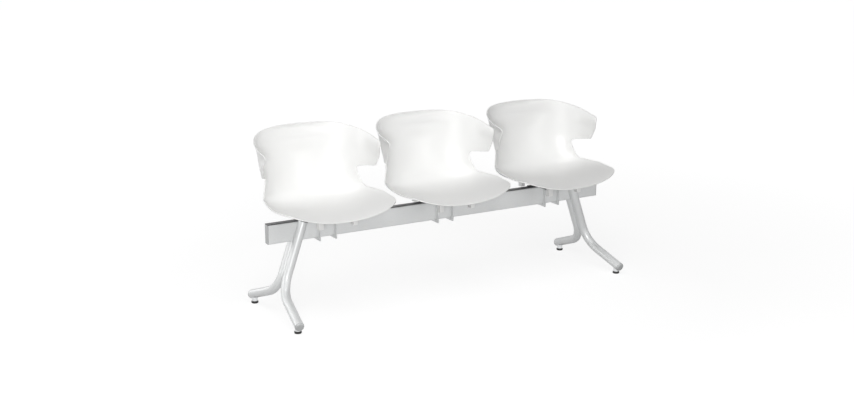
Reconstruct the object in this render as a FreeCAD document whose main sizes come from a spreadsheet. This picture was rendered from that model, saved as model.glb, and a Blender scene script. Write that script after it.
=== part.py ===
import FreeCAD, Part
import math
import os

import Sketcher

Vector = FreeCAD.Vector

# Driving dimensions, in millimetres and degrees.
# Heights are above the floor, depths are from the middle plane of the beam,
# with the sitter's front towards -Y.
DIMENSIONS = [
    ("middle_plane_y", -0.4),
    ("beam_length", 1640.0),
    ("beam_depth", 30.0),
    ("beam_height", 80.0),
    ("beam_wall", 3.0),
    ("beam_corner", 4.0),
    ("beam_underside", 315.0),
    ("end_cap_thickness", 3.0),
    ("end_cap_plug_length", 18.0),
    ("plug_clearance", 0.1),
    ("strip_thickness", 3.0),
    ("strip_edge", 1.0),
    ("leg_tube_diameter", 38.0),
    ("leg_tube_wall", 2.5),
    ("leg_notch_depth", 12.5),
    ("leg_top_x", 668.0),
    ("leg_top_below_beam_top", 1.0),
    ("leg_bend_x", 766.5),
    ("leg_bend_height", 112.0),
    ("leg_bend_radius", 110.0),
    ("leg_overrun", 21.0),
    ("foot_x", 791.0),
    ("foot_y", 217.0),
    ("foot_tube_height", 41.0),
    ("top_plug_rim", 3.0),
    ("top_plug_edge", 1.5),
    ("top_plug_length", 10.0),
    ("low_cap_rim", 10.0),
    ("low_cap_edge", 8.0),
    ("low_cap_plug_length", 8.0),
    ("collar_diameter", 25.0),
    ("collar_height", 10.0),
    ("stem_diameter", 8.0),
    ("stem_running_clearance", 0.05),
    ("stem_hole_clearance", 0.5),
    ("stem_top_height", 46.0),
    ("pad_diameter", 30.0),
    ("pad_height", 9.5),
    ("pad_edge", 1.5),
    ("pad_floor", 3.0),
    ("seat_pitch", 560.0),
    ("frame_width", 220.0),
    ("frame_wing_depth", 26.0),
    ("frame_middle_width", 90.0),
    ("frame_thickness", 4.0),
    ("arm_spacing", 152.0),
    ("arm_width", 14.0),
    ("arm_height", 12.0),
    ("arm_front", 123.0),
    ("arm_rear", 111.0),
    ("block_width", 20.0),
    ("block_depth", 24.0),
    ("block_height", 44.0),
    ("block_end_wall", 4.0),
    ("block_above_arm", 8.0),
    ("block_edge", 1.5),
    ("screw_diameter", 6.0),
    ("screw_clearance", 0.25),
    ("screw_head_diameter", 11.0),
    ("screw_head_height", 4.0),
    ("screw_recess", 6.0),
    ("screw_bite", 7.0),
    ("screw_tip_gap", 0.5),
    ("screw_drive_diameter", 4.0),
    ("screw_drive_depth", 2.5),
    ("boss_diameter", 18.0),
    ("hook_spacing", 73.0),
    ("hook_thickness", 4.0),
    ("hook_front_reach", 32.0),
    ("hook_rear_reach", 34.0),
    ("hook_drop", 13.0),
    ("hook_beam_gap", 1.0),
    ("hook_corner", 5.0),
    ("clamp_bar_inset", 2.0),
    ("clamp_bar_depth", 12.0),
    ("clamp_bar_height", 30.0),
    ("clamp_bolt_diameter", 8.0),
    ("clamp_bolt_spacing", 40.0),
    ("clamp_bolt_showing", 3.0),
    ("clamp_bolt_head_radius", 7.5),
    ("clamp_bolt_head_height", 5.5),
    ("shell_thickness", 5.0),
    ("shell_edge", 1.5),
    ("shell_width", 528.0),
    ("shell_outline_centre_y", -8.0),
    ("shell_outline_front", 208.0),
    ("shell_outline_rear", 82.0),
    ("shell_outline_top", 123.0),
    ("shell_outline_fullness", 4.2),
    ("cut_margin", 60.0),
]

# Cross-sections of the moulded shell, from the front lip to the top of the back.
# Each is one half of a squarish oval that opens upwards in the pan and forwards in the back:
# middle depth and height, edge depth and height, extra half width, fullness, sweep in degrees.
# Heights are above the plane on which the shell's bosses stand.
SHELL_SECTIONS = [
    (-246, -18, -240, 44, -24, 0.9, 62),
    (-216, 2, -206, 51, -15, 1.15, 62),
    (-180, 11, -166, 53, -6, 1.5, 64),
    (-120, 15, -104, 52, 2, 1.9, 66),
    (-50, 12, -45, 57, 2, 2.25, 72),
    (25, 6, 0, 65, -5, 2.5, 78),
    (95, 8, 16, 73, -12, 2.65, 83),
    (146, 24, 22, 84, -14, 2.55, 87),
    (178, 56, 24, 96, -13, 2.1, 89),
    (197, 103, 20, 120, -18, 2.0, 90),
    (211, 158, 6, 160, -12, 2.05, 90),
    (221, 218, -14, 208, -6, 2.45, 90),
    (230, 275, -28, 258, -1, 2.85, 90),
    (237, 338, -38, 305, 3, 3.25, 90),
]
SECTION_STEPS = 12
FINE_STEPS = 60
OUTLINE_STEPS = 18
OFFSET_TOLERANCE = 0.01

# Side view of what is cut away above the pan: arm notch, front of the wings and space over the
# rim, as depth, height over the boss plane and corner radius.
NOTCH_PROFILE = [
    (-70.0, 54.0, 0.0),
    (95.0, 58.0, 30.0),
    (123.5, 140.0, 12.0),
    (28.0, 153.5, 12.0),
    (-11.0, 254.5, 20.0),
    (60.0, 268.7, 300.0),
    (330.0, 344.5, 0.0),
    (330.0, 420.0, 0.0),
    (-70.0, 420.0, 0.0),
]

# How far from parallel to an axis an edge may be and still count as lying along it
ALONG = 0.001

SIDES = [("left", -1), ("right", 1)]
ENDS = [("front", -1), ("rear", 1)]
SEATS = [("left", -1), ("middle", 0), ("right", 1)]

document = FreeCAD.newDocument("beam_seating")
sheet = document.addObject("Spreadsheet::Sheet", "dims")
for row, (alias, number) in enumerate(DIMENSIONS, start=1):
    sheet.set(f"A{row}", alias)
    sheet.set(f"B{row}", str(number))
    sheet.setAlias(f"B{row}", alias)
document.recompute()

exported = []


def size(alias):
    return float(sheet.get(alias))


def keep(obj, label):
    obj.Label = label
    exported.append(obj)
    return obj


def bind(obj, **expressions):
    for name, expression in expressions.items():
        obj.setExpression(name.replace("__", "."), expression)


def place(obj, x="0", y="0", z="0"):
    """Puts an object at a point given by expressions, y from the beam's middle plane."""
    obj.setExpression("Placement.Base.x", x)
    obj.setExpression("Placement.Base.y", f"dims.middle_plane_y + {y}")
    obj.setExpression("Placement.Base.z", z)


def at(x, y, z, rotation=None):
    return FreeCAD.Placement(Vector(x, y, z), rotation or FreeCAD.Rotation())


def feature(shape, label, placement=None):
    """A sub-part whose shape is worked out here, moved to the beam's middle plane."""
    obj = document.addObject("Part::Feature", label)
    obj.Shape = shape
    base = placement or shape.Placement
    obj.Placement = at(0, size("middle_plane_y"), 0).multiply(base)
    return keep(obj, label)


# Heights and depths that several pieces share
BEAM_TOP = "(dims.beam_underside + dims.beam_height)"
STRIP_TOP = f"({BEAM_TOP} + dims.strip_thickness)"
FRAME_TOP = f"({STRIP_TOP} + dims.frame_thickness)"
BOSS_PLANE = f"({FRAME_TOP} + dims.arm_height + dims.block_above_arm)"
beam_top = size("beam_underside") + size("beam_height")
strip_top = beam_top + size("strip_thickness")
frame_top = strip_top + size("frame_thickness")
boss_plane = frame_top + size("arm_height") + size("block_above_arm")
tube_y = size("beam_depth") / 2 + size("leg_tube_diameter") / 2 - size("leg_notch_depth")


def origin_plane(body, role):
    return next(f for f in body.Origin.OriginFeatures if f.Role == role)


def sketch_on(body, name, role):
    sketch = body.newObject("Sketcher::SketchObject", name)
    sketch.AttachmentSupport = (origin_plane(body, role), [""])
    sketch.MapMode = "FlatFace"
    return sketch


def fix_point(sketch, geometry, point, name, x, y, start):
    """Ties one point of a sketch to the origin by two named, bound distances."""
    ties = (("DistanceX", "x", x, start.x), ("DistanceY", "y", y, start.y))
    for kind, axis, expression, value in ties:
        index = sketch.addConstraint(Sketcher.Constraint(kind, -1, 1, geometry, point, value))
        sketch.renameConstraint(index, f"{name}_{axis}")
        sketch.setExpression(f"Constraints.{name}_{axis}", expression)


def polygon_sketch(body, name, role, corners):
    sketch = sketch_on(body, name, role)
    count = len(corners)
    turn = 2 * math.pi / count
    far = size("cut_margin")
    starts = [Vector(far * math.cos(turn * k), far * math.sin(turn * k), 0) for k in range(count)]
    for k in range(count):
        sketch.addGeometry(Part.LineSegment(starts[k], starts[(k + 1) % count]), False)
    for k in range(count):
        sketch.addConstraint(Sketcher.Constraint("Coincident", k, 2, (k + 1) % count, 1))
    for k, (x, y) in enumerate(corners):
        fix_point(sketch, k, 1, f"corner{k}", x, y, starts[k])
    return sketch


def rectangle(width, height, x="0", y="0"):
    """Corners of a rectangle about a point, as expressions."""
    return [
        (f"{x} - ({width}) / 2", f"{y} - ({height}) / 2"),
        (f"{x} + ({width}) / 2", f"{y} - ({height}) / 2"),
        (f"{x} + ({width}) / 2", f"{y} + ({height}) / 2"),
        (f"{x} - ({width}) / 2", f"{y} + ({height}) / 2"),
    ]


def circles_sketch(body, name, role, radius, centres):
    sketch = sketch_on(body, name, role)
    for k, (x, y) in enumerate(centres):
        start = Vector(size("cut_margin") * (k + 1), size("cut_margin"), 0)
        sketch.addGeometry(Part.Circle(start, Vector(0, 0, 1), size("screw_diameter")), False)
        fix_point(sketch, k, 3, f"centre{k}", x, y, start)
        index = sketch.addConstraint(Sketcher.Constraint("Radius", k, size("screw_diameter")))
        sketch.renameConstraint(index, f"radius{k}")
        sketch.setExpression(f"Constraints.radius{k}", radius)
    return sketch


def pad(body, name, sketch, length, both_ways=True):
    extrusion = body.newObject("PartDesign::Pad", name)
    extrusion.Profile = sketch
    extrusion.Midplane = both_ways
    extrusion.setExpression("Length", length)
    return extrusion


def pocket_through(body, name, sketch):
    cut = body.newObject("PartDesign::Pocket", name)
    cut.Profile = sketch
    cut.Type = "ThroughAll"
    cut.Midplane = True
    return cut


def fillet(body, name, base, edges, radius):
    rounding = body.newObject("PartDesign::Fillet", name)
    rounding.Base = (base, edges)
    rounding.setExpression("Radius", radius)
    return rounding


def long_edges(obj, axis):
    """Names of the straight edges of a feature that run along one axis."""
    names = []
    for k, edge in enumerate(obj.Shape.Edges, start=1):
        if edge.Curve.TypeId != "Part::GeomLine":
            continue
        if edge.tangentAt(edge.FirstParameter).cross(axis).Length < ALONG:
            names.append(f"Edge{k}")
    return names


def cylinder(name, radius, height):
    obj = document.addObject("Part::Cylinder", name)
    bind(obj, Radius=radius, Height=height)
    return obj


def box(name, length, width, height):
    obj = document.addObject("Part::Box", name)
    bind(obj, Length=length, Width=width, Height=height)
    return obj


def cut(name, base, tool):
    obj = document.addObject("Part::Cut", name)
    obj.Base = base
    obj.Tool = tool
    return obj


def fuse(name, pieces):
    obj = document.addObject("Part::MultiFuse", name)
    obj.Shapes = pieces
    return obj


def group(pieces, label):
    """Identical fasteners or blocks that share one node as separate solids."""
    obj = document.addObject("Part::Compound", label)
    obj.Links = pieces
    return keep(obj, label)


# Leg centre line: a straight upper run, one bend, and a straight lower run to the foot.
# The upper runs are notched, so that they clasp the beam's faces and carry it on their ledges.


def leg_points(side, end):
    """Top, bend corner and foot of one leg tube's centre line, from the beam's middle plane."""
    top = Vector(side * size("leg_top_x"), end * tube_y, beam_top - size("leg_top_below_beam_top"))
    corner = Vector(side * size("leg_bend_x"), end * tube_y, size("leg_bend_height"))
    foot = Vector(side * size("foot_x"), end * size("foot_y"), size("foot_tube_height"))
    return top, corner, foot


def leg_end(corner, foot):
    return foot + (foot - corner).normalize() * size("leg_overrun")


def leg_path(side, end):
    top, corner, foot = leg_points(side, end)
    last = leg_end(corner, foot)
    up = (top - corner).normalize()
    down = (last - corner).normalize()
    half_turn = up.getAngle(down) / 2
    setback = size("leg_bend_radius") / math.tan(half_turn)
    start = corner + up * setback
    finish = corner + down * setback
    middle = (up + down).normalize()
    centre = corner + middle * (size("leg_bend_radius") / math.sin(half_turn))
    crown = centre - middle * size("leg_bend_radius")
    edges = [
        Part.LineSegment(top, start).toShape(),
        Part.Arc(start, crown, finish).toShape(),
        Part.LineSegment(finish, last).toShape(),
    ]
    return Part.Wire(edges)


def pipe(path, radius):
    start = path.Edges[0].valueAt(path.Edges[0].FirstParameter)
    along = path.Edges[0].tangentAt(path.Edges[0].FirstParameter)
    ring = Part.Wire(Part.makeCircle(radius, start, along))
    return path.makePipeShell([ring], True, False)


def beam_room():
    """The space of the beam and all that lies on it, which the leg tops are cut back to."""
    length, depth = size("beam_length"), size("beam_depth")
    corner = Vector(-length / 2, -depth / 2, size("beam_underside"))
    return Part.makeBox(length, depth, 2 * size("beam_height"), corner)


def leg_plug(rim, edge, length):
    """A round-edged head as wide as the tube, and the core that fills the tube behind it."""
    head = Part.makeCylinder(size("leg_tube_diameter") / 2, rim)
    outer_ring = [e for e in head.Edges if e.Closed and e.CenterOfMass.z > rim / 2]
    inner = size("leg_tube_diameter") / 2 - size("leg_tube_wall") - size("plug_clearance")
    core = Part.makeCylinder(inner, length, Vector(0, 0, -length))
    return head.makeFillet(edge, outer_ring).fuse(core).removeSplitter()


def turned_to(shape, point, along):
    """A copy of a shape that stands on +Z, moved to a point and turned along a direction."""
    copy = shape.copy()
    copy.Placement = FreeCAD.Placement(point, FreeCAD.Rotation(Vector(0, 0, 1), along))
    return copy


leg_outsides = {}
for side_name, side in SIDES:
    for end_name, end in ENDS:
        top, corner, foot = leg_points(side, end)
        name = f"{end_name}_{side_name}"
        path = leg_path(side, end)
        outside = pipe(path, size("leg_tube_diameter") / 2)
        bore = pipe(path, size("leg_tube_diameter") / 2 - size("leg_tube_wall"))
        leg_outsides[side, end] = outside
        stem_hole = size("stem_diameter") / 2 + size("stem_hole_clearance")
        drill = Part.makeCylinder(stem_hole, foot.z, Vector(foot.x, foot.y, 0))
        tube = outside.cut([bore, beam_room(), drill])
        feature(tube.removeSplitter(), f"leg_tube_{name}")
        plug = leg_plug(size("top_plug_rim"), size("top_plug_edge"), size("top_plug_length"))
        plug = turned_to(plug, top, (top - corner).normalize()).cut(beam_room())
        feature(plug.removeSplitter(), f"leg_top_plug_{name}")
        cap = leg_plug(size("low_cap_rim"), size("low_cap_edge"), size("low_cap_plug_length"))
        cap = turned_to(cap, leg_end(corner, foot), (foot - corner).normalize())
        feature(cap, f"leg_end_cap_{name}")



def widest_rings(shape):
    """Numbers of the round edges that are as wide as the shape."""
    wide = shape.BoundBox.XLength - ALONG
    rings = enumerate(shape.Edges, start=1)
    return [k for k, edge in rings if edge.Closed and edge.BoundBox.XLength > wide]


# Feet: a collar under the tube, a stem that screws through it and a pad on the floor
for side_name, side in SIDES:
    for end_name, end in ENDS:
        _, _, foot = leg_points(side, end)
        name = f"{end_name}_{side_name}"
        where = {"x": f"{side} * dims.foot_x", "y": f"{end} * dims.foot_y"}
        collar_base = Vector(foot.x, foot.y, size("collar_height"))
        low = Part.makeCylinder(size("collar_diameter") / 2, foot.z - collar_base.z, collar_base)
        low = low.cut(leg_outsides[side, end])
        bore = size("stem_diameter") / 2 + size("stem_running_clearance")
        low = low.cut(Part.makeCylinder(bore, foot.z, Vector(foot.x, foot.y, 0)))
        feature(low, f"foot_collar_{name}")
        stem = cylinder(f"foot_stem_{name}", "dims.stem_diameter / 2",
                        "dims.stem_top_height - dims.pad_floor")
        place(stem, z="dims.pad_floor", **where)
        keep(stem, f"foot_stem_{name}")
        disc = cylinder(f"pad_disc_{name}", "dims.pad_diameter / 2", "dims.pad_height")
        socket = cylinder(f"pad_socket_{name}", "dims.stem_diameter / 2", "dims.pad_height")
        bind(socket, Placement__Base__z="dims.pad_floor")
        pad_cut = cut(f"pad_cut_{name}", disc, socket)
        document.recompute()
        rounding = document.addObject("Part::Chamfer", f"foot_pad_{name}")
        rounding.Base = pad_cut
        rounding.Edges = [(k, size("pad_edge"), size("pad_edge")) for k in widest_rings(pad_cut.Shape)]
        place(rounding, **where)
        keep(rounding, f"foot_pad_{name}")

# Beam: a rounded rectangular tube
beam = document.addObject("PartDesign::Body", "beam_tube")
outline = polygon_sketch(beam, "BeamOutline", "YZ_Plane", rectangle("dims.beam_depth", "dims.beam_height"))
solid = pad(beam, "BeamPad", outline, "dims.beam_length - 2 * dims.end_cap_thickness")
document.recompute()
fillet(beam, "BeamCorners", solid, long_edges(solid, Vector(1, 0, 0)), "dims.beam_corner")
hollow = polygon_sketch(beam, "BeamHollow", "YZ_Plane",
                        rectangle("dims.beam_depth - 2 * dims.beam_wall",
                                  "dims.beam_height - 2 * dims.beam_wall"))
pocket_through(beam, "BeamBore", hollow)
place(beam, z="dims.beam_underside + dims.beam_height / 2")
keep(beam, "beam_tube")

for side_name, side in SIDES:
    cap = document.addObject("PartDesign::Body", f"beam_end_cap_{side_name}")
    outline = polygon_sketch(cap, f"CapOutline{side_name}", "YZ_Plane",
                             rectangle("dims.beam_depth", "dims.beam_height"))
    plate = pad(cap, f"CapPlate{side_name}", outline, "dims.end_cap_thickness", both_ways=False)
    document.recompute()
    fillet(cap, f"CapCorners{side_name}", plate, long_edges(plate, Vector(1, 0, 0)), "dims.beam_corner")
    inside = "2 * (dims.beam_wall + dims.plug_clearance)"
    plug = polygon_sketch(cap, f"CapPlug{side_name}", "YZ_Plane",
                          rectangle(f"dims.beam_depth - {inside}", f"dims.beam_height - {inside}"))
    tongue = pad(cap, f"CapTongue{side_name}", plug, "dims.end_cap_plug_length", both_ways=False)
    tongue.Reversed = True
    place(cap, x=f"{side} * (dims.beam_length / 2 - dims.end_cap_thickness)",
          z="dims.beam_underside + dims.beam_height / 2")
    if side < 0:
        cap.Placement.Rotation = FreeCAD.Rotation(Vector(0, 0, 1), 180)
    keep(cap, f"beam_end_cap_{side_name}")

strip = document.addObject("PartDesign::Body", "beam_top_strip")
strip_outline = polygon_sketch(strip, "StripOutline", "YZ_Plane", [
    ("-dims.beam_depth / 2", "0"),
    ("dims.beam_depth / 2", "0"),
    ("dims.beam_depth / 2", "dims.strip_thickness - dims.strip_edge"),
    ("dims.beam_depth / 2 - dims.strip_edge", "dims.strip_thickness"),
    ("-dims.beam_depth / 2 + dims.strip_edge", "dims.strip_thickness"),
    ("-dims.beam_depth / 2", "dims.strip_thickness - dims.strip_edge"),
])
pad(strip, "StripPad", strip_outline, "dims.beam_length")
place(strip, z=BEAM_TOP)
keep(strip, "beam_top_strip")

# Moulded shell, the same for every seat


def shell_section(section):
    """Points spaced evenly along one whole cross-section, from the left edge to the right."""
    middle_y, middle_z, edge_y, edge_z, extra, fullness, sweep = section
    half_width = size("shell_width") / 2 + extra
    last = math.radians(sweep)
    out_power = 2 / max(fullness, 2)
    rise_power = 2 / fullness
    widest = math.sin(last) ** out_power
    deepest = 1 - max(math.cos(last), 0) ** rise_power
    curve = []
    for step in range(FINE_STEPS + 1):
        angle = last * step / FINE_STEPS
        out = half_width * math.sin(angle) ** out_power / widest
        rise = (1 - max(math.cos(angle), 0) ** rise_power) / deepest
        depth = middle_y + (edge_y - middle_y) * rise
        curve.append(Vector(out, depth, middle_z + (edge_z - middle_z) * rise))
    run = [0]
    for a, b in zip(curve, curve[1:]):
        run.append(run[-1] + a.distanceToPoint(b))
    half = []
    k = 0
    for step in range(SECTION_STEPS + 1):
        goal = run[-1] * step / SECTION_STEPS
        while k < FINE_STEPS - 1 and run[k + 1] < goal:
            k += 1
        share = (goal - run[k]) / (run[k + 1] - run[k])
        half.append(curve[k] + (curve[k + 1] - curve[k]) * share)
    return [Vector(-p.x, p.y, p.z) for p in reversed(half[1:])] + half


def rounded_outline(corners, to_point):
    """Closed wire of straight runs with a tangent arc at each corner that has a radius."""
    count = len(corners)
    runs = []
    for k in range(count):
        here, radius = to_point(corners[k]), corners[k][2]
        before = to_point(corners[k - 1])
        after = to_point(corners[(k + 1) % count])
        if radius == 0:
            runs.append((here, None, here))
            continue
        back = (before - here).normalize()
        ahead = (after - here).normalize()
        half_turn = back.getAngle(ahead) / 2
        setback = radius / math.tan(half_turn)
        middle = (back + ahead).normalize()
        crown = here + middle * (radius / math.sin(half_turn) - radius)
        runs.append((here + back * setback, crown, here + ahead * setback))
    edges = []
    for k in range(count):
        start, crown, finish = runs[k]
        if crown is not None:
            edges.append(Part.Arc(start, crown, finish).toShape())
        edges.append(Part.LineSegment(finish, runs[(k + 1) % count][0]).toShape())
    return Part.Wire(edges)


def pan_outline_cutter():
    """Everything outside the rounded plan outline of the seat pan, up to the arm notch."""
    half_width = size("shell_width") / 2
    front = size("shell_outline_front")
    centre = size("shell_outline_centre_y")
    power = 2 / size("shell_outline_fullness")
    margin = size("cut_margin")
    curve = []
    for k in range(-OUTLINE_STEPS, OUTLINE_STEPS + 1):
        angle = math.pi / 2 * k / OUTLINE_STEPS
        out = math.copysign(abs(math.sin(angle)) ** power, angle) * half_width
        curve.append(Vector(out, centre - front * max(math.cos(angle), 0) ** power, -margin))
    rear = size("shell_outline_rear")
    wide = half_width + margin
    ahead = centre - front - margin
    arc = Part.BSplineCurve()
    arc.interpolate(curve)
    right_side = [(half_width, rear), (wide, rear), (wide, ahead)]
    left_side = [(-x, y) for x, y in reversed(right_side)]
    loop = [curve[-1]] + [Vector(x, y, -margin) for x, y in right_side + left_side] + [curve[0]]
    edges = [arc.toShape()] + [Part.LineSegment(a, b).toShape() for a, b in zip(loop, loop[1:])]
    return Part.Face(Part.Wire(edges)).extrude(Vector(0, 0, margin + size("shell_outline_top")))


def boss_places():
    """Plan positions of the four bosses, which stand on the mounting blocks."""
    reach = {-1: size("arm_front"), 1: size("arm_rear")}
    inset = size("block_depth") / 2 - size("block_end_wall")
    x = size("arm_spacing") / 2
    return [(side * x, end * (reach[end] - inset)) for _, side in SIDES for _, end in ENDS]


def shell_shape():
    surface = Part.BSplineSurface()
    surface.interpolate([shell_section(section) for section in SHELL_SECTIONS])
    walls = surface.toShape().makeOffsetShape(size("shell_thickness"), OFFSET_TOLERANCE, fill=True)
    wide = size("shell_width")
    notch = Part.Face(rounded_outline(NOTCH_PROFILE, lambda c: Vector(-wide, c[0], c[1])))
    body = walls.cut([notch.extrude(Vector(2 * wide, 0, 0)), pan_outline_cutter()]).Solids[0]
    body = body.makeFillet(size("shell_edge"), body.Edges)
    for x, y in boss_places():
        post = Part.makeCylinder(size("boss_diameter") / 2, size("cut_margin"), Vector(x, y, 0))
        lower = min(post.cut(body).Solids, key=lambda piece: piece.CenterOfMass.z)
        body = body.fuse(lower)
        pilot = size("screw_bite") + size("screw_tip_gap")
        body = body.cut(Part.makeCylinder(size("screw_diameter") / 2, pilot, Vector(x, y, 0)))
    return body.removeSplitter().Solids[0]


shell = shell_shape()
print("shell", shell.ShapeType, shell.isValid(), len(shell.Solids), round(shell.Volume))
for seat_name, seat in SEATS:
    feature(shell, f"seat_shell_{seat_name}", at(seat * size("seat_pitch"), 0, boss_plane))

# Under each seat: a steel frame on the beam, hook plates round the beam and what fastens them
ARM_X = "dims.arm_spacing / 2"
BLOCK_Y = {-1: "-(dims.arm_front + dims.block_end_wall - dims.block_depth / 2)",
           1: "(dims.arm_rear + dims.block_end_wall - dims.block_depth / 2)"}


def seat_frame(name, x):
    frame = document.addObject("PartDesign::Body", f"seat_frame_{name}")
    wing_x = "dims.frame_width / 2"
    wing_y = "dims.frame_wing_depth / 2"
    mid_x = "dims.frame_middle_width / 2"
    front, rear = "dims.hook_front_reach", "dims.hook_rear_reach"
    right_side = [(mid_x, f"-{front}"), (mid_x, f"-{wing_y}"), (wing_x, f"-{wing_y}"),
                  (wing_x, wing_y), (mid_x, wing_y), (mid_x, rear)]
    corners = right_side + [(f"-{x}", y) for x, y in reversed(right_side)]
    plate = polygon_sketch(frame, f"FramePlate_{name}", "XY_Plane", corners)
    pad(frame, f"FramePad_{name}", plate, "dims.frame_thickness", both_ways=False)
    for side_name, side in SIDES:
        arm = polygon_sketch(frame, f"Arm_{name}_{side_name}", "XY_Plane", rectangle(
            "dims.arm_width", "dims.arm_front + dims.arm_rear",
            f"{side} * {ARM_X}", "(dims.arm_rear - dims.arm_front) / 2"))
        arm.setExpression("AttachmentOffset.Base.z", "dims.frame_thickness")
        pad(frame, f"ArmPad_{name}_{side_name}", arm, "dims.arm_height", both_ways=False)
    centres = [(f"{side} * {ARM_X}", BLOCK_Y[end]) for _, side in SIDES for _, end in ENDS]
    radius = "dims.screw_diameter / 2 + dims.screw_clearance"
    holes = circles_sketch(frame, f"ArmHoles_{name}", "XY_Plane", radius, centres)
    pocket_through(frame, f"ArmDrill_{name}", holes)
    place(frame, x=x, z=STRIP_TOP)
    keep(frame, f"seat_frame_{name}")


def hook_plate(name, side_name, side, x):
    hook = document.addObject("PartDesign::Body", f"hook_plate_{name}_{side_name}")
    inner_front = "-dims.beam_depth / 2"
    inner_rear = "dims.beam_depth / 2 + dims.hook_beam_gap"
    low = "-dims.beam_height - dims.strip_thickness - dims.hook_drop"
    seat_line = "-dims.beam_height - dims.strip_thickness - dims.hook_beam_gap"
    corners = [
        ("-dims.hook_front_reach", "0"), ("-dims.hook_front_reach", low), ("dims.hook_rear_reach", low),
        ("dims.hook_rear_reach", "0"), (inner_rear, "0"), (inner_rear, seat_line),
        (inner_front, seat_line), (inner_front, "0"),
    ]
    outline = polygon_sketch(hook, f"HookOutline_{name}_{side_name}", "YZ_Plane", corners)
    plate = pad(hook, f"HookPad_{name}_{side_name}", outline, "dims.hook_thickness")
    document.recompute()
    lowest = plate.Shape.BoundBox.ZMin
    edges = long_edges(plate, Vector(1, 0, 0))
    bottom = [n for n in edges if plate.Shape.getElement(n).BoundBox.ZMin < lowest + ALONG]
    fillet(hook, f"HookCorners_{name}_{side_name}", plate, bottom, "dims.hook_corner")
    place(hook, x=f"{x} + {side} * dims.hook_spacing / 2", z=STRIP_TOP)
    keep(hook, f"hook_plate_{name}_{side_name}")


def clamp(name, x):
    """Bar between the hook plates behind the beam, and the two bolts that press on the beam."""
    bar = box(f"clamp_block_{name}", "dims.hook_spacing - dims.hook_thickness", "dims.clamp_bar_depth",
              "dims.clamp_bar_height")
    rear = "(dims.hook_rear_reach - dims.clamp_bar_inset)"
    bind(bar, Placement__Base__x="-(dims.hook_spacing - dims.hook_thickness) / 2",
         Placement__Base__y=f"{rear} - dims.clamp_bar_depth",
         Placement__Base__z="-dims.clamp_bar_height / 2")
    drills = []
    bolts = []
    lying = FreeCAD.Rotation(Vector(1, 0, 0), -90)
    for side_name, side in SIDES:
        bolt_x = f"{side} * dims.clamp_bolt_spacing / 2"
        tag = f"{name}_{side_name}"
        radius = "dims.clamp_bolt_diameter / 2"
        drill = cylinder(f"clamp_drill_{tag}", radius, "dims.hook_rear_reach")
        shank = cylinder(f"clamp_shank_{tag}", radius,
                         f"{rear} + dims.clamp_bolt_showing - dims.beam_depth / 2")
        head = document.addObject("Part::Prism", f"clamp_head_{tag}")
        head.Polygon = 6
        bind(head, Circumradius="dims.clamp_bolt_head_radius", Height="dims.clamp_bolt_head_height")
        for obj, y in ((drill, "dims.beam_depth / 2"), (shank, "dims.beam_depth / 2"),
                       (head, f"{rear} + dims.clamp_bolt_showing")):
            obj.Placement.Rotation = lying
            bind(obj, Placement__Base__x=bolt_x, Placement__Base__y=y)
        drills.append(drill)
        bolts.append(fuse(f"clamp_bolt_{tag}", [shank, head]))
    bar = cut(f"clamp_bar_{name}", bar, fuse(f"clamp_drills_{name}", drills))
    middle = "dims.beam_underside + dims.beam_height / 2"
    place(bar, x=x, z=middle)
    keep(bar, f"clamp_bar_{name}")
    place(group(bolts, f"clamp_bolts_{name}"), x=x, z=middle)


def mounting_block(tag, x, y, turned):
    body = box(f"block_body_{tag}", "dims.block_width", "dims.block_depth", "dims.block_height")
    bind(body, Placement__Base__x="-dims.block_width / 2", Placement__Base__y="-dims.block_depth / 2")
    document.recompute()
    rounding = document.addObject("Part::Fillet", f"block_round_{tag}")
    rounding.Base = body
    upright = [int(n[4:]) for n in long_edges(body, Vector(0, 0, 1))]
    rounding.Edges = [(k, size("block_edge"), size("block_edge")) for k in upright]
    slot = box(f"block_slot_{tag}", "dims.arm_width", "dims.block_depth", "dims.arm_height")
    bind(slot, Placement__Base__x="-dims.arm_width / 2",
         Placement__Base__y="dims.block_end_wall - dims.block_depth / 2",
         Placement__Base__z="dims.block_height - dims.block_above_arm - dims.arm_height")
    bore = cylinder(f"block_bore_{tag}", "dims.screw_diameter / 2 + dims.screw_clearance",
                    "dims.block_height")
    sink = cylinder(f"block_sink_{tag}", "dims.screw_head_diameter / 2 + dims.screw_clearance",
                    "dims.screw_recess + dims.screw_head_height")
    block = cut(f"block_{tag}", rounding, fuse(f"block_room_{tag}", [slot, bore, sink]))
    if turned:
        block.Placement.Rotation = FreeCAD.Rotation(Vector(0, 0, 1), 180)
    bind(block, Placement__Base__x=x, Placement__Base__y=y)
    return block


def seat_screw(tag, x, y):
    head = cylinder(f"screw_head_{tag}", "dims.screw_head_diameter / 2", "dims.screw_head_height")
    drive = cylinder(f"screw_drive_{tag}", "dims.screw_drive_diameter / 2", "dims.screw_drive_depth")
    bind(head, Placement__Base__z="dims.screw_recess")
    bind(drive, Placement__Base__z="dims.screw_recess")
    base = "dims.screw_recess + dims.screw_head_height"
    length = f"dims.block_height + dims.screw_bite - ({base})"
    shank = cylinder(f"screw_shank_{tag}", "dims.screw_diameter / 2", length)
    bind(shank, Placement__Base__z=base)
    screw = cut(f"screw_{tag}", fuse(f"screw_body_{tag}", [head, shank]), drive)
    bind(screw, Placement__Base__x=x, Placement__Base__y=y)
    return screw


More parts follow.
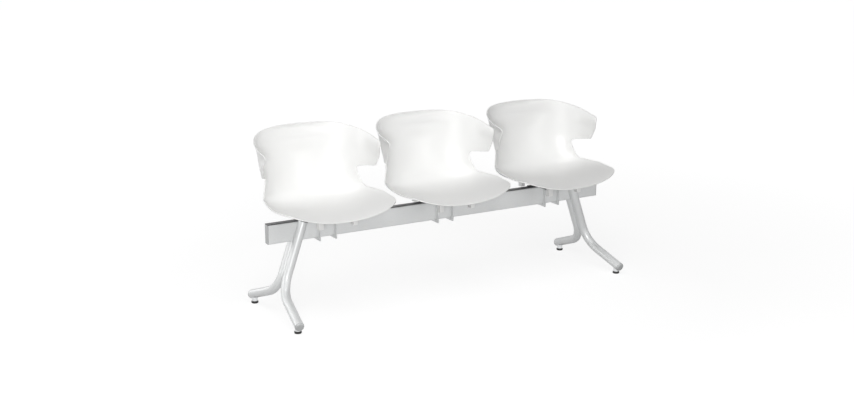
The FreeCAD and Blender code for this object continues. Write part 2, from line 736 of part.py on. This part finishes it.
for seat_name, seat in SEATS:
    seat_x = f"{seat} * dims.seat_pitch"
    seat_frame(seat_name, seat_x)
    for side_name, side in SIDES:
        hook_plate(seat_name, side_name, side, seat_x)
    clamp(seat_name, seat_x)
    blocks = []
    screws = []
    for side_name, side in SIDES:
        for end_name, end in ENDS:
            tag = f"{seat_name}_{end_name}_{side_name}"
            where = (f"{side} * {ARM_X}", BLOCK_Y[end])
            blocks.append(mounting_block(tag, *where, turned=end > 0))
            screws.append(seat_screw(tag, *where))
    under = f"{BOSS_PLANE} - dims.block_height"
    place(group(blocks, f"seat_blocks_{seat_name}"), x=seat_x, z=under)
    place(group(screws, f"seat_screws_{seat_name}"), x=seat_x, z=under)

document.recompute()
for obj in document.Objects:
    if "Invalid" in obj.State or "Error" in obj.State:
        raise RuntimeError(f"{obj.Name} is {obj.State}")
os.makedirs("parts", exist_ok=True)
for obj in exported:
    shape = obj.Shape
    if shape.isNull() or not shape.isValid():
        raise RuntimeError(f"{obj.Label} has no valid shape")
    shape.exportStep(f"parts/{obj.Label}.step")
print(len(exported), "nodes")
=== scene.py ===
import math

import bpy
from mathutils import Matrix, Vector


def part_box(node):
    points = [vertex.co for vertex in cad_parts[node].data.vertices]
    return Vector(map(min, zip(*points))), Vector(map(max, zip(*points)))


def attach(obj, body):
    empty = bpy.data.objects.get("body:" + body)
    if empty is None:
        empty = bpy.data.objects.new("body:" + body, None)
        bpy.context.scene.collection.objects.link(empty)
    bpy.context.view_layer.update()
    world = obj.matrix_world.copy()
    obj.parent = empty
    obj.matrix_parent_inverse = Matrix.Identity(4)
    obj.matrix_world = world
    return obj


bl_info = {
    "name": "Beam Seating",
    "version": (1, 0, 0),
    "blender": (4, 5, 0),
    "location": "View3D > Sidebar > Beam Seating",
    "description": "Finishes a row of moulded seats on a steel beam and sets it in a plain studio",
    "category": "Object",
}

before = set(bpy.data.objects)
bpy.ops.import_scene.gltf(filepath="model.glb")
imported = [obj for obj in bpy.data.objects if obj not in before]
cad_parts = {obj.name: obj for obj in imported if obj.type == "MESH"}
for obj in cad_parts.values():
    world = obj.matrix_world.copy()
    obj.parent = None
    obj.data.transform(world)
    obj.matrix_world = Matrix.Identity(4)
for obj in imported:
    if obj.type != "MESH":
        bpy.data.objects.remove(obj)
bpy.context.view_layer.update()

LEG_NAMES = [(end, side) for side in ("left", "right") for end in ("front", "rear")]
SENSOR_MILLIMETRES = 36
WHITE = (1.0, 1.0, 1.0)

# How near, in metres, a corner of a tube lies to the beam's face where the two touch, and how near
# in height corners lie that end one joint.
TOUCH = 0.0003
SAME_LEVEL = 0.001

# Softboxes: name, place and aim in metres, width in metres
LAMPS = [
    ("key", (-2.9, -4.6, 1.4), (-0.10, 0.0, 0.55), 1.2),
    ("side", (-4.0, 0.8, 1.3), (0.0, 0.0, 0.55), 1.6),
    ("fill", (1.5, -4.0, 1.2), (-0.10, 0.0, 0.65), 1.6),
    ("top", (-0.8, -1.2, 3.1), (-0.30, 0.0, 0.45), 3.0),
    ("back", (-2.4, 3.8, 1.6), (0.0, 0.0, 0.45), 2.4),
]

beam_low, beam_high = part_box("beam_tube")
BEAM_MIDDLE = (beam_low + beam_high) / 2


class Wire:
    """One output of a shader node that can be used in Python sums."""

    def __init__(self, finish, socket):
        self.finish = finish
        self.socket = socket

    def maths(self, operation, first, second):
        return self.finish.node("ShaderNodeMath", {0: first, 1: second}, operation=operation)

    def __add__(self, other):
        return self.maths("ADD", self, other)

    def __radd__(self, other):
        return self.maths("ADD", other, self)

    def __sub__(self, other):
        return self.maths("SUBTRACT", self, other)

    def __rsub__(self, other):
        return self.maths("SUBTRACT", other, self)

    def __mul__(self, other):
        return self.maths("MULTIPLY", self, other)

    def __rmul__(self, other):
        return self.maths("MULTIPLY", other, self)


class Finish:
    """The node tree of a material or a world, and the few words needed to fill it."""

    def __init__(self, owner):
        self.owner = owner
        owner.use_nodes = True
        self.tree = owner.node_tree
        self.tree.nodes.clear()

    def node(self, kind, sockets=None, output=0, **settings):
        """Adds a node, its settings first, then the values or links of its sockets."""
        made = self.tree.nodes.new(kind)
        for name, value in settings.items():
            setattr(made, name, value)
        for name, value in (sockets or {}).items():
            self.feed(self.socket(made.inputs, name), value)
        return Wire(self, self.socket(made.outputs, output))

    def socket(self, sockets, name):
        if isinstance(name, int):
            return sockets[name]
        return next(s for s in sockets if s.identifier == name or s.name == name)

    def feed(self, socket, value):
        if isinstance(value, Wire):
            self.tree.links.new(value.socket, socket)
        elif socket.type == "RGBA":
            socket.default_value = (*value, 1)
        else:
            socket.default_value = value

    def place(self):
        """Position on the object, in metres."""
        return self.node("ShaderNodeTexCoord", output="Object")

    def stretched(self, scale):
        return self.node("ShaderNodeMapping", {"Vector": self.place(), "Scale": scale})

    def noise(self, scale, detail=2.0, roughness=0.5, vector=None):
        sockets = {"Vector": vector or self.place(), "Scale": scale, "Detail": detail, "Roughness": roughness}
        return self.node("ShaderNodeTexNoise", sockets)

    def ramp(self, factor, low, high):
        """Rises from 0 to 1 while the factor goes from low to high."""
        sockets = {"Value": factor, "From Min": low, "From Max": high}
        return self.node("ShaderNodeMapRange", sockets, clamp=True)

    def mix(self, factor, first, second):
        sockets = {"Factor_Float": factor, "A_Color": first, "B_Color": second}
        return self.node("ShaderNodeMix", sockets, output="Result_Color", data_type="RGBA")

    def bump(self, height, strength, distance):
        sockets = {"Height": height, "Strength": strength, "Distance": distance}
        return self.node("ShaderNodeBump", sockets, output="Normal")

    def surface(self, **sockets):
        """Ends the tree in a Principled shader, each socket named with _ for a space."""
        named = {name.replace("_", " "): value for name, value in sockets.items()}
        return self.end(self.node("ShaderNodeBsdfPrincipled", named, output="BSDF"))

    def end(self, shader, kind="ShaderNodeOutputMaterial"):
        made = self.tree.nodes.new(kind)
        self.tree.links.new(shader.socket, made.inputs["Surface"])
        return self.owner

    def watched(self):
        """1 on the rays that show the background: from the camera, off gloss and through glass."""
        camera, gloss, glass = (self.node("ShaderNodeLightPath", output=f"Is {ray} Ray")
                                for ray in ("Camera", "Glossy", "Transmission"))
        shown = camera.maths("MAXIMUM", camera, gloss)
        return shown.maths("MAXIMUM", shown, glass)


def material_finish(name):
    return Finish(bpy.data.materials.new(name))


def shade(colour, factor):
    return tuple(min(1.0, part * factor) for part in colour)


def moulded_white(look):
    """Satin polypropylene: fine spark-eroded grain, faint clouding, rubbed patches."""
    skin = material_finish("moulded_white")
    cloud = skin.noise(look.cloud_scale, detail=3)
    rubbed = skin.ramp(skin.noise(look.rub_scale, detail=4, roughness=0.6), low=0.45, high=0.7)
    hairs = skin.noise(look.hair_scale, detail=3, roughness=0.7, vector=skin.stretched((1, 0.08, 0.25)))
    scratched = skin.ramp(hairs, low=0.66, high=0.74)
    colour = skin.mix(cloud, shade(look.shell_colour, 0.975), shade(look.shell_colour, 1.02))
    colour = skin.mix(scratched * 0.10, colour, shade(look.shell_colour, 0.8))
    grain = skin.noise(look.grain_scale, detail=2, roughness=0.6)
    return skin.surface(
        Base_Color=colour,
        Roughness=look.shell_roughness - 0.05 * rubbed + 0.10 * scratched,
        Normal=skin.bump(grain, strength=0.12, distance=0.0002),
        IOR=1.49,
    )


def moulded_block(look):
    """Injection-moulded nylon of the spacer blocks, a little duller than the shells."""
    skin = material_finish("moulded_block")
    cloud = skin.noise(look.cloud_scale * 6, detail=2)
    grain = skin.noise(look.grain_scale, detail=2)
    return skin.surface(
        Base_Color=skin.mix(cloud, shade(look.block_colour, 0.96), look.block_colour),
        Roughness=look.block_roughness + 0.08 * grain,
        Normal=skin.bump(grain, strength=0.1, distance=0.0002),
    )


def powder_coat(name, look, colour, roughness, metallic=0.0):
    """Powder coat: orange-peel skin, faint flake, rub marks and a little dust."""
    skin = material_finish(name)
    peel = skin.noise(look.peel_scale, detail=1.5)
    flake = skin.ramp(skin.noise(look.flake_scale, detail=0), low=0.35, high=0.65)
    dust = skin.ramp(skin.noise(look.cloud_scale * 3, detail=5, roughness=0.65), low=0.4, high=0.75)
    rubbed = skin.noise(look.hair_scale * 0.5, detail=4, vector=skin.stretched((0.12, 1, 1)))
    tone = skin.mix(flake, shade(colour, 0.94), shade(colour, 1.05))
    tone = skin.mix(dust * 0.12, tone, shade(colour, 1.18))
    return skin.surface(
        Base_Color=tone,
        Metallic=metallic,
        Roughness=roughness + 0.08 * dust + 0.05 * skin.ramp(rubbed, low=0.5, high=0.7),
        Normal=skin.bump(peel + 0.4 * flake, strength=0.10, distance=0.0002),
    )


def moulded_trim(name, look, colour, roughness):
    """Plain moulded trim: fine grain and slight scuffs."""
    skin = material_finish(name)
    grain = skin.noise(look.grain_scale, detail=2)
    scuffs = skin.ramp(skin.noise(look.rub_scale * 3, detail=5, roughness=0.7), low=0.55, high=0.75)
    return skin.surface(
        Base_Color=skin.mix(scuffs * 0.25, colour, shade(colour, 1.35)),
        Roughness=roughness + 0.12 * scuffs,
        Normal=skin.bump(grain, strength=0.15, distance=0.0002),
    )


def bright_zinc(look):
    """Zinc-plated steel with fine drawing marks and a cloudy passivated film."""
    skin = material_finish("bright_zinc")
    film = skin.noise(look.cloud_scale * 10, detail=4)
    drawn = skin.noise(look.flake_scale, detail=2, vector=skin.stretched((1, 1, 0.1)))
    return skin.surface(
        Base_Color=skin.mix(film, shade(look.zinc_colour, 0.86), look.zinc_colour),
        Metallic=1.0,
        Roughness=look.zinc_roughness + 0.14 * film,
        Normal=skin.bump(drawn, strength=0.08, distance=0.0001),
    )


def foot_rubber(look):
    """Hard rubber: matt, with a dusty bloom near the floor."""
    skin = material_finish("foot_rubber")
    height = skin.node("ShaderNodeSeparateXYZ", {0: skin.place()}, output="Z")
    bloom = (1 - skin.ramp(height, low=0.0, high=0.006)) * skin.noise(look.rub_scale * 20, detail=4)
    grain = skin.noise(look.grain_scale, detail=3)
    return skin.surface(
        Base_Color=skin.mix(bloom * 0.5, look.rubber_colour, shade(look.rubber_colour, 3.0)),
        Roughness=look.rubber_roughness + 0.25 * bloom,
        Normal=skin.bump(grain, strength=0.2, distance=0.0002),
    )


def dress(finish, *names):
    """Gives CAD nodes one finish in place of the one they came with."""
    for name in names:
        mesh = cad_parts[name].data
        mesh.materials.clear()
        mesh.materials.append(finish)


def nodes_like(*starts):
    return [name for name in sorted(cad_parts) if name.startswith(starts)]


def only(piece):
    bpy.ops.object.select_all(action="DESELECT")
    piece.select_set(True)
    bpy.context.view_layer.objects.active = piece


def settle(piece):
    """Puts a piece's place into its mesh."""
    only(piece)
    bpy.ops.object.transform_apply(location=True, rotation=True, scale=True)
    return piece


def colour_property(name, description, default):
    return bpy.props.FloatVectorProperty(name=name, description=description, subtype="COLOR",
                                         size=3, min=0, max=1, default=default)


def share_property(name, description, default):
    return bpy.props.FloatProperty(name=name, description=description, default=default, min=0, max=1)


class LookSettings(bpy.types.PropertyGroup):
    """Colours and textures of the seating."""

    shell_colour: colour_property("Shell", "Moulded seat shells", (0.87, 0.87, 0.86))
    block_colour: colour_property("Blocks", "Spacer blocks under the shells", (0.90, 0.90, 0.89))
    paint_colour: colour_property("Paint", "Powder coat of beam, legs and hooks", (0.74, 0.75, 0.75))
    black_colour: colour_property("Black", "Carriers and tube plugs", (0.018, 0.018, 0.019))
    strip_colour: colour_property("Strip", "Strip along the top of the beam", (0.085, 0.085, 0.088))
    cap_colour: colour_property("Caps", "Caps of beam and leg tubes", (0.52, 0.53, 0.53))
    zinc_colour: colour_property("Zinc", "Plated fasteners and collars", (0.72, 0.73, 0.74))
    rubber_colour: colour_property("Rubber", "Foot pads", (0.016, 0.016, 0.016))
    shell_roughness: share_property("Shell roughness", "Roughness of the moulded shells", 0.34)
    block_roughness: share_property("Block roughness", "Roughness of the spacer blocks", 0.42)
    paint_metallic: share_property("Paint metal", "How metallic the grey powder coat is", 0.20)
    paint_roughness: share_property("Paint roughness", "Roughness of the grey powder coat", 0.36)
    carrier_roughness: share_property("Carrier roughness", "Roughness of the carriers' coat", 0.45)
    strip_roughness: share_property("Strip roughness", "Roughness of the strip on the beam", 0.32)
    plug_roughness: share_property("Plug roughness", "Roughness of the tube plugs", 0.5)
    cap_roughness: share_property("Cap roughness", "Roughness of the caps", 0.42)
    zinc_roughness: share_property("Zinc roughness", "Roughness of plated steel", 0.26)
    rubber_roughness: share_property("Rubber roughness", "Roughness of the foot pads", 0.55)
    cloud_scale: bpy.props.FloatProperty(
        name="Clouding", description="Clouds of colour per metre", default=4.0, min=0.1)
    rub_scale: bpy.props.FloatProperty(
        name="Rubbing", description="Rubbed patches per metre", default=7.0, min=0.1)
    hair_scale: bpy.props.FloatProperty(
        name="Scratches", description="Hair scratches per metre", default=160.0, min=1)
    grain_scale: bpy.props.FloatProperty(
        name="Grain", description="Moulded grain per metre", default=1400.0, min=1)
    peel_scale: bpy.props.FloatProperty(
        name="Orange peel", description="Waves of the paint skin per metre", default=700.0, min=1)
    flake_scale: bpy.props.FloatProperty(
        name="Flake", description="Flakes in the paint per metre", default=2200.0, min=1)


class WeldSettings(bpy.types.PropertyGroup):
    """Weld beads between the leg tubes and the beam."""

    bead_radius: bpy.props.FloatProperty(
        name="Bead radius", description="Half width of a bead", default=0.0026, min=0.0005,
        unit="LENGTH", subtype="DISTANCE")
    ripple: bpy.props.FloatProperty(
        name="Ripple length", description="Distance from one ripple to the next", default=0.0024,
        min=0.0005, unit="LENGTH", subtype="DISTANCE")
    end_gap: bpy.props.FloatProperty(
        name="End gap", description="Bare length at each end of a joint", default=0.004, min=0,
        unit="LENGTH", subtype="DISTANCE")
    segments: bpy.props.IntProperty(
        name="Segments", description="Sides of each ripple", default=12, min=6)


class StageSettings(bpy.types.PropertyGroup):
    """Camera, lamps and floor."""

    azimuth: bpy.props.FloatProperty(
        name="Azimuth", description="Camera's turn about the upright", default=math.radians(-30.23),
        unit="ROTATION", subtype="ANGLE")
    elevation: bpy.props.FloatProperty(
        name="Elevation", description="Camera's height angle", default=math.radians(14.30),
        unit="ROTATION", subtype="ANGLE")
    distance: bpy.props.FloatProperty(
        name="Distance", description="From the target to the camera", default=5.661,
        unit="LENGTH", subtype="DISTANCE")
    lens: bpy.props.FloatProperty(
        name="Lens", description="Focal length on a 36 mm sensor, in millimetres", default=54.36)
    target: bpy.props.FloatVectorProperty(
        name="Target", description="Point the camera looks at, from the beam's middle plane",
        default=(-0.0087, 0.1153, 0.3478), unit="LENGTH", subtype="TRANSLATION")
    floor_radius: bpy.props.FloatProperty(
        name="Floor radius", description="Reach of the floor", default=40.0,
        unit="LENGTH", subtype="DISTANCE")
    ambient: bpy.props.FloatProperty(
        name="Ambient", description="Strength of the light from all round", default=0.02, min=0)
    key_power: bpy.props.FloatProperty(
        name="Key", description="Power of the softbox at the front left", default=126.0, min=0)
    side_power: bpy.props.FloatProperty(
        name="Side", description="Power of the softbox beside the left seat", default=30.0, min=0)
    fill_power: bpy.props.FloatProperty(
        name="Fill", description="Power of the softbox at the front right", default=25.0, min=0)
    top_power: bpy.props.FloatProperty(
        name="Top", description="Power of the softbox overhead", default=55.0, min=0)
    back_power: bpy.props.FloatProperty(
        name="Back", description="Power of the softbox at the rear left", default=45.0, min=0)
    floor_glow: share_property("Floor glow", "Brightness that the camera sees even in full shadow", 0.86)
    floor_shade: share_property("Floor shade", "Part of the light on the floor that the camera sees", 0.22)
    floor_bounce: share_property("Floor bounce", "Part of the light on the floor that lights the seating", 0.34)
    floor_fade: bpy.props.FloatVectorProperty(
        name="Floor fade", description="Distances at which the floor starts and ends turning white",
        size=2, default=(1.2, 3.6), unit="LENGTH", subtype="NONE")


class BEAMSEATING_OT_shells(bpy.types.Operator):
    """Finish the moulded shells"""

    bl_idname = "beamseating.shells"
    bl_label = "Seat Shells"

    def execute(self, context):
        look = context.scene.beamseating_look
        dress(moulded_white(look), *nodes_like("seat_shell"))
        dress(moulded_block(look), *nodes_like("seat_blocks"))
        return {"FINISHED"}


class BEAMSEATING_OT_framework(bpy.types.Operator):
    """Finish the painted beam, legs and hook plates"""

    bl_idname = "beamseating.framework"
    bl_label = "Framework"

    def execute(self, context):
        look = context.scene.beamseating_look
        paint = powder_coat("grey_powder_coat", look, look.paint_colour, look.paint_roughness,
                            look.paint_metallic)
        dress(paint, *nodes_like("beam_tube", "leg_tube", "hook_plate", "clamp_bar"))
        black = powder_coat("black_powder_coat", look, look.black_colour, look.carrier_roughness)
        dress(black, *nodes_like("seat_frame"))
        return {"FINISHED"}


class BEAMSEATING_OT_welds(bpy.types.Operator):
    """Lay the weld beads where the notched leg tubes clasp the beam"""

    bl_idname = "beamseating.welds"
    bl_label = "Weld Beads"

    def execute(self, context):
        weld = context.scene.beamseating_weld
        beads = []
        for end, side in LEG_NAMES:
            for start, finish in self.joints(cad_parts[f"leg_tube_{end}_{side}"]):
                beads.append(self.bead(weld, start, finish))
        only(beads[0])
        for bead in beads:
            bead.select_set(True)
        bpy.ops.object.join()
        welds = bpy.context.object
        welds.name = "leg_welds"
        settle(welds)
        bpy.ops.object.shade_smooth()
        welds.data.materials.append(bpy.data.materials["grey_powder_coat"])
        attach(welds, "root")
        return {"FINISHED"}

    def joints(self, tube):
        """The two upright lines along which a tube's notch touches the beam's side."""
        corners = [tube.matrix_world @ vertex.co for vertex in tube.data.vertices]
        middle = sum(corner.y for corner in corners) / len(corners)
        face = beam_low.y if middle < BEAM_MIDDLE.y else beam_high.y
        touching = [corner for corner in corners if abs(corner.y - face) < TOUCH]
        low = min(corner.z for corner in touching)
        high = max(corner.z for corner in touching)
        for pick in (min, max):
            yield tuple(pick((c for c in touching if abs(c.z - level) < SAME_LEVEL), key=lambda c: c.x)
                        for level in (low, high))

    def bead(self, weld, start, finish):
        """A row of overlapping ripples from one point to the other."""
        run = finish - start
        start = start + run.normalized() * weld.end_gap
        length = run.length - 2 * weld.end_gap
        bpy.ops.mesh.primitive_uv_sphere_add(
            segments=weld.segments, ring_count=weld.segments // 2, radius=weld.bead_radius,
            location=start, rotation=run.to_track_quat("Z", "Y").to_euler())
        bead = bpy.context.object
        row = bead.modifiers.new("ripples", "ARRAY")
        row.use_relative_offset = False
        row.use_constant_offset = True
        row.constant_offset_displace = (0, 0, weld.ripple)
        row.count = int(length / weld.ripple)
        bpy.ops.object.modifier_apply(modifier=row.name)
        return bead


class BEAMSEATING_OT_trim(bpy.types.Operator):
    """Finish the caps, plugs, strip, feet and fasteners"""

    bl_idname = "beamseating.trim"
    bl_label = "Trim and Feet"

    def execute(self, context):
        look = context.scene.beamseating_look
        vinyl = moulded_trim("strip_vinyl", look, look.strip_colour, look.strip_roughness)
        black = moulded_trim("black_plastic", look, look.black_colour, look.plug_roughness)
        grey = moulded_trim("grey_plastic", look, look.cap_colour, look.cap_roughness)
        dress(vinyl, "beam_top_strip")
        dress(black, *nodes_like("leg_top_plug"))
        dress(grey, *nodes_like("beam_end_cap", "leg_end_cap"))
        dress(bright_zinc(look), *nodes_like("foot_collar", "foot_stem", "clamp_bolts", "seat_screws"))
        dress(foot_rubber(look), *nodes_like("foot_pad"))
        return {"FINISHED"}


class BEAMSEATING_OT_stage(bpy.types.Operator):
    """Set the camera, soft lamps, floor and background"""

    bl_idname = "beamseating.stage"
    bl_label = "Studio"

    def execute(self, context):
        stage = context.scene.beamseating_stage
        self.camera(context, stage)
        self.lamps(stage)
        self.floor(stage)
        self.world(context, stage)
        context.scene.view_settings.view_transform = "Standard"
        return {"FINISHED"}

    def camera(self, context, stage):
        across = math.cos(stage.elevation)
        back = Vector((math.sin(stage.azimuth) * across, -math.cos(stage.azimuth) * across,
                       math.sin(stage.elevation)))
        target = Vector(stage.target) + Vector((0, BEAM_MIDDLE.y, 0))
        bpy.ops.object.camera_add(location=target + back * stage.distance,
                                  rotation=(math.pi / 2 - stage.elevation, 0, stage.azimuth))
        camera = context.object
        camera.name = "camera"
        camera.data.lens = stage.lens
        camera.data.sensor_width = SENSOR_MILLIMETRES
        context.scene.camera = camera

    def lamps(self, stage):
        for name, where, aim, width in LAMPS:
            turn = (Vector(aim) - Vector(where)).to_track_quat("-Z", "Y").to_euler()
            bpy.ops.object.light_add(type="AREA", location=where, rotation=turn)
            lamp = bpy.context.object
            lamp.name = name
            lamp.data.shape = "DISK"
            lamp.data.size = width
            lamp.data.energy = getattr(stage, f"{name}_power")

    def floor(self, stage):
        bpy.ops.mesh.primitive_circle_add(vertices=64, radius=stage.floor_radius, fill_type="NGON")
        floor = bpy.context.object
        floor.name = "floor"
        seen = material_finish("pale_floor")
        plain = seen.node("ShaderNodeBsdfDiffuse", {"Color": (stage.floor_bounce,) * 3})
        faint = seen.node("ShaderNodeBsdfDiffuse", {"Color": (stage.floor_shade,) * 3})
        away = seen.node("ShaderNodeVectorMath", {0: seen.place()}, output="Value", operation="LENGTH")
        near, far = stage.floor_fade
        spread = seen.mix(seen.ramp(away, near, far), (stage.floor_glow,) * 3, WHITE)
        glow = seen.node("ShaderNodeEmission", {"Color": spread, "Strength": 1.0})
        bright = seen.node("ShaderNodeAddShader", {0: faint, 1: glow})
        mixed = seen.node("ShaderNodeMixShader", {0: seen.watched(), 1: plain, 2: bright})
        floor.data.materials.append(seen.end(mixed))

    def world(self, context, stage):
        sky = Finish(bpy.data.worlds.new("studio"))
        soft = sky.node("ShaderNodeBackground", {"Color": WHITE, "Strength": stage.ambient})
        white = sky.node("ShaderNodeBackground", {"Color": WHITE, "Strength": 1.0})
        mixed = sky.node("ShaderNodeMixShader", {0: sky.watched(), 1: soft, 2: white})
        context.scene.world = sky.end(mixed, "ShaderNodeOutputWorld")


class BEAMSEATING_PT_sidebar(bpy.types.Panel):
    """Lists the steps that finish the seating"""

    bl_label = "Beam Seating"
    bl_space_type = "VIEW_3D"
    bl_region_type = "UI"
    bl_category = "Beam Seating"

    def draw(self, context):
        for operator in OPERATORS:
            self.layout.operator(operator.bl_idname)
        for settings in (context.scene.beamseating_look, context.scene.beamseating_weld,
                         context.scene.beamseating_stage):
            box = self.layout.box()
            for name in settings.__annotations__:
                box.prop(settings, name)


OPERATORS = (BEAMSEATING_OT_shells, BEAMSEATING_OT_framework, BEAMSEATING_OT_welds, BEAMSEATING_OT_trim,
             BEAMSEATING_OT_stage)
SETTINGS = (LookSettings, WeldSettings, StageSettings)


def register():
    for kind in SETTINGS + OPERATORS + (BEAMSEATING_PT_sidebar,):
        bpy.utils.register_class(kind)
    scene = bpy.types.Scene
    scene.beamseating_look = bpy.props.PointerProperty(type=LookSettings)
    scene.beamseating_weld = bpy.props.PointerProperty(type=WeldSettings)
    scene.beamseating_stage = bpy.props.PointerProperty(type=StageSettings)


def unregister():
    for name in ("beamseating_look", "beamseating_weld", "beamseating_stage"):
        delattr(bpy.types.Scene, name)
    for kind in reversed(SETTINGS + OPERATORS + (BEAMSEATING_PT_sidebar,)):
        bpy.utils.unregister_class(kind)


def main():
    register()
    bpy.ops.beamseating.shells()
    bpy.ops.beamseating.framework()
    bpy.ops.beamseating.welds()
    bpy.ops.beamseating.trim()
    bpy.ops.beamseating.stage()


if __name__ == "__main__":
    main()
